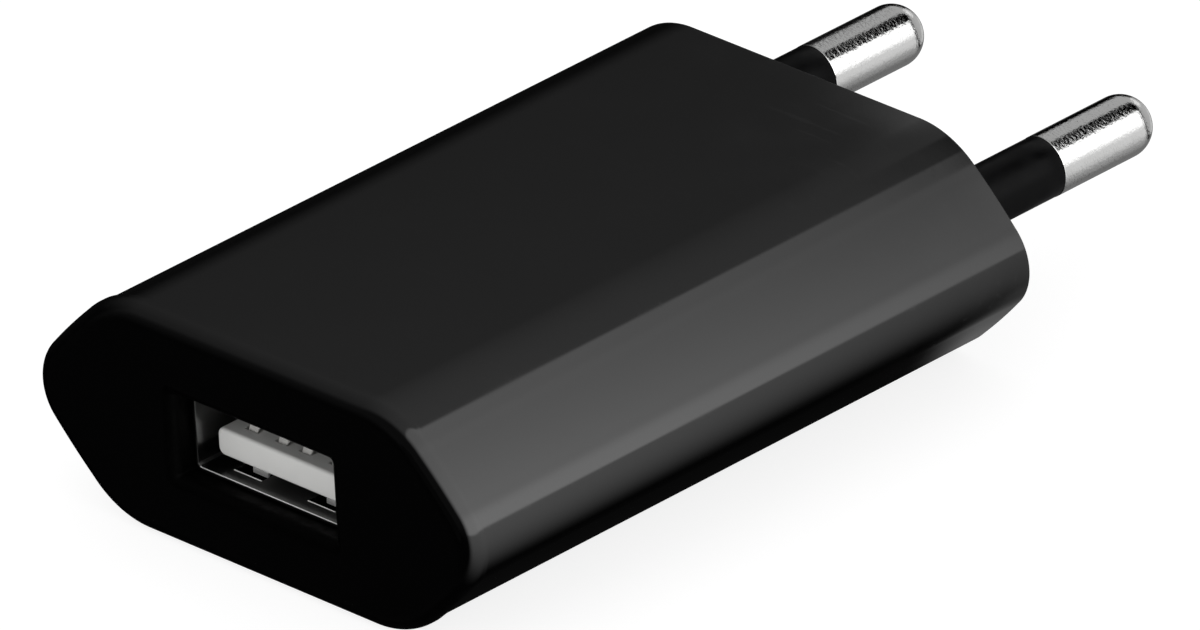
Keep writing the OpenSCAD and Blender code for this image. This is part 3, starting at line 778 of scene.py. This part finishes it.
def pin_metal(side, node):
    """Turned pin: round end, bare shank, neck inside the sleeve, collar in the base and tail."""
    centre_y = PIN_TIP_Y - PIN_R
    profile = [(0.001, PIN_TAIL_Y), (PIN_TAIL_R - 0.15, PIN_TAIL_Y), (PIN_TAIL_R, PIN_TAIL_Y + 0.15)]
    profile += [(PIN_TAIL_R, BOSS_END_Y), (PIN_NECK_R, BOSS_END_Y), (PIN_NECK_R, PIN_COLLAR_BACK_Y)]
    profile += [(PIN_COLLAR_R, PIN_COLLAR_BACK_Y), (PIN_COLLAR_R, PIN_COLLAR_FRONT_Y)]
    profile += [(PIN_NECK_R, PIN_COLLAR_FRONT_Y), (PIN_NECK_R, SLEEVE_END_Y)]
    profile += [(PIN_R - 0.05, SLEEVE_END_Y), (PIN_R - 0.015, SLEEVE_END_Y + 0.015)]
    profile += [(PIN_R, SLEEVE_END_Y + 0.05)]
    shank_y = SLEEVE_END_Y + 0.07
    profile += [(PIN_R, shank_y + (centre_y - shank_y) * k / 8) for k in range(9)]
    for i in range(1, 33):
        angle = math.radians(90 * i / 32)
        profile.append((max(PIN_R * math.cos(angle), 0.001), centre_y + PIN_R * math.sin(angle)))
    verts, faces = lathe(side * PIN_X, PIN_Z, profile, 128)
    return piece(node + "_metal", verts, faces, NICKEL, [node])


def pin_sleeve(side, node):
    """Insulating sleeve with softly rounded ends."""
    bore = PIN_NECK_R + PLAY
    profile = [(bore, SLEEVE_IN_Y), (SLEEVE_ROOT_R, SLEEVE_IN_Y), (SLEEVE_ROOT_R, SLEEVE_SEAT_Y)]
    profile += [(SLEEVE_R, SLEEVE_SEAT_Y + (SLEEVE_END_Y - SLEEVE_SEAT_Y - 0.06) * k / 6) for k in range(7)]
    profile += [(SLEEVE_R - 0.02, SLEEVE_END_Y - 0.02), (SLEEVE_R - 0.06, SLEEVE_END_Y), (bore, SLEEVE_END_Y)]
    rings = [circle_ring(side * PIN_X, PIN_Z, r, y, 128) for r, y in profile]
    verts, faces = loft(rings + [rings[0]], False, False)
    return piece(node + "_moulding", verts, faces, SLEEVE, [node])


# ---- USB receptacle ----

def shell_finger(x, flip):
    """Spring finger, a strip of the shell bowed inwards, with its tip turned back out through the window."""
    low = -SHELL_H / 2
    path = [
        (6.7, 0.0), (5.2, 0.03), (4.2, 0.14), (3.4, 0.36), (2.8, 0.52), (2.3, 0.58),
        (1.9, 0.52), (1.55, 0.36), (1.3, 0.18), (1.12, 0.0), (1.0, -0.12),
    ]
    rings = []
    for distance, rise in path:
        y = shell_low.y + WINDOW_START + distance
        half = FINGER_W / 2
        z = low + rise
        ring = [(x - half, z), (x + half, z), (x + half, z + SHELL_T), (x - half, z + SHELL_T)]
        rings.append([(px, y, flip * pz) for px, pz in ring])
    return loft(rings)


def painted_highlight_lip(x, flip):
    """Raised lip that the punch leaves along the front edge of a window; its pale steel paints a highlight
    line there.
    """
    y = shell_low.y + 1.06
    z = -SHELL_H / 2 + SHELL_T - 0.02
    profile = arc((y, z), 0.055, 0, 180, 8)
    rings = [[(px, py, flip * pz) for py, pz in profile] for px in (x - WINDOW_W / 2, x + WINDOW_W / 2)]
    return loft(rings)


def usb_shell():
    """Drawn shell of the receptacle, with windows and spring fingers above and below."""
    front, back = shell_low.y, shell_high.y
    edge = 0.1

    def tube_ring(grow, y):
        return ring_at(soft_rect(SHELL_W + 2 * grow, SHELL_H + 2 * grow, SHELL_R + grow), y)

    rings = [tube_ring(0, back), tube_ring(0, front + edge)]
    rings += [tube_ring(-0.03, front + 0.03), tube_ring(-edge, front)]
    rings += [tube_ring(-SHELL_T + edge, front), tube_ring(-SHELL_T + 0.03, front + 0.03)]
    rings += [tube_ring(-SHELL_T, front + edge), tube_ring(-SHELL_T, back), tube_ring(0, back)]
    tube = loft(rings, False, False)
    window_y = front + WINDOW_START
    windows = []
    for x in (-WINDOW_X, WINDOW_X):
        for wall_z in (-SHELL_H / 2, SHELL_H / 2):
            low = (x - WINDOW_W / 2, window_y, wall_z - WINDOW_CUT)
            high = (x + WINDOW_W / 2, window_y + WINDOW_L, wall_z + WINDOW_CUT)
            windows.append(brick(low, high))
    shell = cut("usb_shell_sheet", tube, windows, SHEET, ["usb_shell"])
    shell.data.materials.append(PAINTED_HIGHLIGHT_STEEL)
    # Faces on the rounded inner edge of the front rim, along the bottom wall, take the pale steel: a painted
    # highlight line.
    for face in shell.data.polygons:
        y, z = (face.center / MM).yz
        if front + 0.03 < y < front + edge and abs(z - SHELL_T + SHELL_H / 2) < 0.05:
            face.material_index = 1
    fingers = [shell_finger(x, flip) for x in (-WINDOW_X, WINDOW_X) for flip in (-1, 1)]
    tab_x = SHELL_W / 2 - SHELL_T / 2
    tab_y = front + TAB_START
    tabs = []
    for x in (-tab_x, tab_x):
        low = (x - SHELL_T / 2, tab_y - TAB_W / 2, TAB_LOW_Z)
        high = (x + SHELL_T / 2, tab_y + TAB_W / 2, shell_high.z)
        tabs.append(brick(low, high))
    # Lips, fingers and tabs take the pale steel, a painted highlight; the lips paint a bright line along each
    # window's front edge.
    highlight_lips = [painted_highlight_lip(x, flip) for x in (-WINDOW_X, WINDOW_X) for flip in (-1, 1)]
    verts, faces = merge(*fingers, *highlight_lips, *tabs)
    piece("usb_shell_springs", verts, faces, PAINTED_HIGHLIGHT_STEEL, ())
    return shell


def usb_insulator():
    """White tongue with grooves for the contacts, and the block behind it."""
    middle_z = TONGUE_TOP - TONGUE_T / 2
    rings = []
    for inset, depth in reversed(edge_rounding(0.22, 6)):
        outline = soft_rect(TONGUE_W - 2 * inset, TONGUE_T - 2 * inset, 0.5 - inset)
        rings.append(ring_at(shifted(outline, middle_z), TONGUE_Y + 0.22 - depth))
    rings.append(ring_at(shifted(soft_rect(TONGUE_W, TONGUE_T, 0.5), middle_z), BLOCK_Y + 0.1))
    tongue = loft(rings)
    block_outline = soft_rect(SHELL_W - 2 * SHELL_T - 0.04, SHELL_H - 2 * SHELL_T - 0.04, 0.3)
    block = loft([ring_at(block_outline, BLOCK_Y), ring_at(block_outline, shell_high.y)])
    groove_w = CONTACT_W + 0.1
    under_z = CONTACT_Z - CONTACT_T - PLAY
    grooves = []
    for x in CONTACT_X.values():
        low = (x - groove_w / 2, TONGUE_Y + 0.85, under_z)
        high = (x + groove_w / 2, BLOCK_Y + 0.05, 1.0)
        grooves.append(brick(low, high))
    cut("usb_tongue", tongue, grooves, WHITE, ["usb_insulator"])
    channels = []
    for x in CONTACT_X.values():
        low = (x - CONTACT_W / 2 - PLAY, BLOCK_Y - 0.1, under_z)
        high = (x + CONTACT_W / 2 + PLAY, shell_high.y + 0.1, CONTACT_Z + PLAY)
        channels.append(brick(low, high))
    cut("usb_block", block, channels, WHITE, ())


def usb_contact(node, x):
    """Contact strip: a bowed tip, a flat run in its groove and a leg up through the board."""
    high = box_mm(node)[1]
    tip_y = TONGUE_Y + 1.0
    top = [
        (tip_y, CONTACT_Z - 0.03), (tip_y + 0.08, CONTACT_Z + 0.14), (tip_y + 0.18, CONTACT_Z + 0.3),
        (tip_y + 0.32, CONTACT_BOW - 0.01), (tip_y + 0.5, CONTACT_BOW), (tip_y + 0.8, CONTACT_BOW - 0.06),
        (tip_y + 1.1, CONTACT_Z + 0.16), (tip_y + 1.5, CONTACT_Z + 0.04), (tip_y + 1.9, CONTACT_Z),
        (high.y - CONTACT_T - 0.3, CONTACT_Z),
    ]
    bend = arc((high.y - CONTACT_T - 0.3, CONTACT_Z + 0.3), 0.3, -90, 0, 5)[1:]
    outer_bend = arc((high.y - CONTACT_T - 0.3, CONTACT_Z + 0.3), 0.3 + CONTACT_T, -90, 0, 5)[1:]
    upper = top + bend + [(high.y - CONTACT_T, high.z)]
    lower = [(y, z - CONTACT_T) for y, z in top] + outer_bend + [(high.y, high.z)]
    edge = 0.04
    widening = 1.2
    rings = []
    for (uy, uz), (ly, lz) in zip(upper, lower):
        across = Vector((uy - ly, uz - lz)).normalized() * edge
        share = min(max((uy - tip_y) / widening, 0), 1)
        half = (CONTACT_TIP_W + (CONTACT_W - CONTACT_TIP_W) * share) / 2
        rings.append([
            (x - half, ly + across.x, lz + across.y), (x - half + edge, ly, lz),
            (x + half - edge, ly, lz), (x + half, ly + across.x, lz + across.y),
            (x + half, uy - across.x, uz - across.y), (x + half - edge, uy, uz),
            (x - half + edge, uy, uz), (x - half, uy - across.x, uz - across.y),
        ])
    verts, faces = loft(rings)
    return piece(node + "_strip", verts, faces, GOLD, [node])


case_sleeve()
front_cap()
for direction, word in ((-1, "left"), (1, "right")):
    pin_metal(direction, "pin_" + word)
    pin_sleeve(direction, "pin_sleeve_" + word)
usb_shell()
usb_insulator()
for contact_node, contact_x in CONTACT_X.items():
    usb_contact(contact_node, contact_x)


# ---- Inside pieces, which keep their CAD shape ----

fuse_low, fuse_high = box_mm("fusible_resistor")
INSIDE = {
    "lead_wire_left": insulation("wire_brown", (0.16, 0.06, 0.02)),
    "lead_wire_right": insulation("wire_blue", (0.02, 0.07, 0.32)),
    "circuit_board": laminate("board_laminate"),
    "solder_joints": bright_solder("solder"),
    "transformer_core_left": FERRITE,
    "transformer_core_right": FERRITE,
    "transformer_bobbin": moulded("bobbin_plastic", (0.018, 0.018, 0.02), 0.35, 0.5),
    "transformer_winding": wound_copper("copper"),
    "transformer_tape": polyester_tape("tape"),
    "transformer_pins": TINNED,
    "bulk_capacitor_front": shrink_sleeve("capacitor_sleeve", (0.02, 0.022, 0.03), (0.45, 0.46, 0.48)),
    "bulk_capacitor_rear": shrink_sleeve("capacitor_sleeve_rear", (0.02, 0.022, 0.03), (0.45, 0.46, 0.48)),
    "output_capacitor_left": shrink_sleeve("output_sleeve", (0.01, 0.07, 0.045), (0.55, 0.50, 0.30)),
    "output_capacitor_right": shrink_sleeve("output_sleeve_right", (0.01, 0.07, 0.045), (0.55, 0.50, 0.30)),
    "capacitor_seals": rubber("rubber_seal"),
    "capacitor_leads": TINNED,
    "fusible_resistor": banded_lacquer("resistor_lacquer", (fuse_low.x + fuse_high.x) / 2),
    "fusible_resistor_leads": TINNED,
    "filter_inductor": FERRITE,
    "filter_inductor_leads": TINNED,
    "y_capacitor": dipped_coat("disc_coat", (0.03, 0.13, 0.42)),
    "y_capacitor_leads": TINNED,
    "bridge_rectifier": EPOXY,
    "bridge_rectifier_legs": TINNED,
    "controller_chip": EPOXY,
    "controller_chip_legs": TINNED,
    "output_diode": EPOXY,
    "output_diode_ends": TINNED,
    "chip_resistors": moulded("chip_resistor_glaze", (0.02, 0.02, 0.022), 0.3, 0.45),
    "chip_capacitors": moulded("chip_ceramic", (0.42, 0.29, 0.17), 0.4, 0.55),
}
for inside_node, inside_look in INSIDE.items():
    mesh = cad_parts[inside_node].data
    mesh.materials.clear()
    mesh.materials.append(inside_look)


# ---- Studio ----

# Soft panels round the tent. Each rises to its brightness between two angles and falls between two
# more, in degrees from straight up towards +X.
BODY_PANELS = {
    "graded ceiling": (-85, 20, 80, 160, 0.6),
    "side card": (14, 18, 80, 175, 0.75),
    "key": (14, 18, 79, 84, 0.5),
    "core of the key": (28, 64, 79, 84, 1.4),
    "left bounce": (-130, -85, -40, 0, 0.01),
    "low bounce, right": (150, 175, 180, 181, 0.006),
    "low bounce, left": (-181, -180, -150, -110, 0.006),
}
PIN_PANELS = {
    "left card": (-67, -61, -11, -6, 0.5),
    "right panel": (30, 36, 75, 100, 0.75),
    "right card": (30, 36, 110, 175, 0.85),
    "low bounce, right": (140, 160, 180, 181, 0.2),
    "low bounce, left": (-181, -180, -125, -95, 0.2),
}
TENT_R = 0.15
TENT_FRONT = -0.6
TENT_BACK = 0.6
PIN_PANELS_Y = 0.113
PIN_PANELS_SOFT = 0.006
PIN_PANELS_SLANT = 0.046


def panel_light(tree, angle, panels):
    """Brightness of a set of panels at an angle round the tent."""
    total = None
    for rise_from, rise_to, fall_from, fall_to, brightness in panels.values():
        rise = smooth_step(tree, angle, rise_from, rise_to)
        fall = smooth_step(tree, angle, fall_from, fall_to, brightness, 0)
        panel = node_math(tree, "MULTIPLY", rise, fall)
        total = panel if total is None else node_math(tree, "ADD", total, panel)
    return total


def body_light(tree, angle, x, y, z):
    """Panels over the case, which fade towards both ends, and a low fill in front of the cap."""
    near_front = smooth_step(tree, y, -0.20, -0.095)
    rear_left = smooth_step(tree, x, -0.20, -0.06, 0, 0.3)
    rear_right = smooth_step(tree, x, 0.03, 0.05, 0, 0.3)
    rear = smooth_step(tree, y, 0.045, 0.145)
    rear_fade = node_math(tree, "MULTIPLY", node_math(tree, "ADD", rear_left, rear_right), rear)
    fade = node_math(tree, "MULTIPLY", near_front, node_math(tree, "SUBTRACT", 1.0, rear_fade))
    panels = node_math(tree, "MULTIPLY", panel_light(tree, angle, BODY_PANELS), fade)
    fill_y = smooth_step(tree, y, -0.14, -0.09, 1, 0)
    fill_z = smooth_step(tree, z, -0.05, 0.1, 0.012, 0.07)
    return node_math(tree, "ADD", panels, node_math(tree, "MULTIPLY", fill_y, fill_z))


def pin_light(tree, angle, x, y):
    """Panels over the pins, cut off behind, and a rear wall."""
    past_y = smooth_step(tree, y, 0.20, 0.21)
    past_x = smooth_step(tree, x, -0.01, 0.02)
    cut_off = node_math(tree, "SUBTRACT", 1.0, node_math(tree, "MULTIPLY", past_y, past_x))
    panels = node_math(tree, "MULTIPLY", panel_light(tree, angle, PIN_PANELS), cut_off)
    return node_math(tree, "ADD", panels, smooth_step(tree, y, 0.26, 0.28, 0, 0.5))


def tent_glow():
    """Light of the tent: one set of panels for the case, and one further back for the pins."""
    material = bpy.data.materials.new("tent_light")
    material.use_nodes = True
    tree = material.node_tree
    tree.nodes.clear()
    place = tree.nodes.new("ShaderNodeTexCoord").outputs["Object"]
    parts = tree.nodes.new("ShaderNodeSeparateXYZ")
    tree.links.new(place, parts.inputs["Vector"])
    x, y, z = (parts.outputs[axis] for axis in "XYZ")
    angle = node_math(tree, "MULTIPLY", node_math(tree, "ARCTAN2", x, z), 180 / math.pi)
    slanted = node_math(tree, "ADD", y, node_math(tree, "MULTIPLY", x, PIN_PANELS_SLANT))
    behind = smooth_step(tree, slanted, PIN_PANELS_Y, PIN_PANELS_Y + PIN_PANELS_SOFT)
    ahead = node_math(tree, "SUBTRACT", 1.0, behind)
    body = node_math(tree, "MULTIPLY", body_light(tree, angle, x, y, z), ahead)
    pins = node_math(tree, "MULTIPLY", pin_light(tree, angle, x, y), behind)
    glow = tree.nodes.new("ShaderNodeEmission")
    tree.links.new(node_math(tree, "ADD", body, pins), glow.inputs["Strength"])
    out = tree.nodes.new("ShaderNodeOutputMaterial")
    tree.links.new(glow.outputs["Emission"], out.inputs["Surface"])
    return material


def light_tent():
    """Soft tent round the object's length. Only gloss sees it, so it shapes the reflections."""
    rings = [circle_ring(0, 0, TENT_R, y, 128) for y in (TENT_FRONT, TENT_BACK)]
    verts, faces = loft(rings, False, False)
    mesh = bpy.data.meshes.new("light_tent")
    mesh.from_pydata(verts, [], faces)
    mesh.materials.append(tent_glow())
    tent = bpy.data.objects.new("light_tent", mesh)
    bpy.context.scene.collection.objects.link(tent)
    tent.visible_camera = False
    tent.visible_diffuse = False
    tent.visible_transmission = False
    tent.visible_shadow = False


def pale_floor():
    """Plain pale floor under the case, which gloss doesn't see."""
    material = bpy.data.materials.new("floor")
    material.use_nodes = True
    shader = material.node_tree.nodes["Principled BSDF"]
    shader.inputs["Base Color"].default_value = (0.28, 0.28, 0.28, 1)
    shader.inputs["Roughness"].default_value = 0.9
    shader.inputs["Specular IOR Level"].default_value = 0.0
    shader.inputs["Emission Color"].default_value = (1, 1, 1, 1)
    shader.inputs["Emission Strength"].default_value = 0.84
    mesh = bpy.data.meshes.new("floor")
    reach = 4.0
    level = case_low.z * MM
    corners = [(-reach, -reach), (reach, -reach), (reach, reach), (-reach, reach)]
    mesh.from_pydata([(x, y, level) for x, y in corners], [], [[0, 1, 2, 3]])
    mesh.materials.append(material)
    floor = bpy.data.objects.new("floor", mesh)
    bpy.context.scene.collection.objects.link(floor)
    floor.visible_glossy = False


def surround():
    """Even pale surround for the camera and for matt surfaces, and a dim one for gloss."""
    world = bpy.data.worlds.new("surround")
    world.use_nodes = True
    tree = world.node_tree
    tree.nodes.clear()
    rays = tree.nodes.new("ShaderNodeLightPath")
    direction = tree.nodes.new("ShaderNodeTexCoord").outputs["Generated"]
    parts = tree.nodes.new("ShaderNodeSeparateXYZ")
    tree.links.new(direction, parts.inputs["Vector"])
    dim = smooth_step(tree, parts.outputs["Y"], -0.9, 0.9, 0.03, 0.55)
    strength = tree.nodes.new("ShaderNodeMix")
    strength.data_type = "FLOAT"
    tree.links.new(rays.outputs["Is Glossy Ray"], strength.inputs[0])
    seen = node_math(tree, "ADD", node_math(tree, "MULTIPLY", rays.outputs["Is Camera Ray"], 0.3), 0.8)
    tree.links.new(seen, strength.inputs[2])
    tree.links.new(dim, strength.inputs[3])
    light = tree.nodes.new("ShaderNodeBackground")
    light.inputs["Color"].default_value = (1, 1, 1, 1)
    tree.links.new(strength.outputs[0], light.inputs["Strength"])
    out = tree.nodes.new("ShaderNodeOutputWorld")
    tree.links.new(light.outputs["Background"], out.inputs["Surface"])
    bpy.context.scene.world = world


def front_light():
    """Large soft light in front, for the inside of the port. Gloss doesn't see it."""
    data = bpy.data.lights.new("front_light", "AREA")
    data.shape = "RECTANGLE"
    data.size = 0.5
    data.size_y = 0.4
    data.energy = 0.45
    light = bpy.data.objects.new("front_light", data)
    light.location = (-0.15, -0.8, 0.18)
    light.rotation_euler = (Vector((0, FRONT_Y * MM, 0)) - light.location).to_track_quat("-Z", "Y").to_euler()
    bpy.context.scene.collection.objects.link(light)
    light.visible_glossy = False
    light.visible_camera = False


CAMERA_AZIMUTH = 46.05
CAMERA_ELEVATION = 27.35
CAMERA_ROLL = -3.20
CAMERA_DISTANCE = 1.65
CAMERA_LENS = 828
CAMERA_AIM = Vector((1.06, -19.36, -0.84)) * MM


def camera():
    """Camera above the front right corner, far off with a long lens."""
    azimuth = math.radians(CAMERA_AZIMUTH)
    elevation = math.radians(CAMERA_ELEVATION)
    roll = math.radians(CAMERA_ROLL)
    back = Vector((
        math.sin(azimuth) * math.cos(elevation),
        -math.cos(azimuth) * math.cos(elevation),
        math.sin(elevation),
    ))
    right = Vector((math.cos(azimuth), math.sin(azimuth), 0))
    up = back.cross(right)
    right, up = right * math.cos(roll) + up * math.sin(roll), up * math.cos(roll) - right * math.sin(roll)
    data = bpy.data.cameras.new("camera")
    data.sensor_width = 36
    data.lens = CAMERA_LENS
    data.clip_start = 0.1
    data.clip_end = 100
    view = bpy.data.objects.new("camera", data)
    place = CAMERA_AIM + back * CAMERA_DISTANCE
    turn = Matrix((right, up, back)).transposed().to_4x4()
    view.matrix_world = Matrix.Translation(place) @ turn
    bpy.context.scene.collection.objects.link(view)
    bpy.context.scene.camera = view


light_tent()
pale_floor()
surround()
front_light()
camera()
bpy.context.scene.view_settings.view_transform = "Standard"
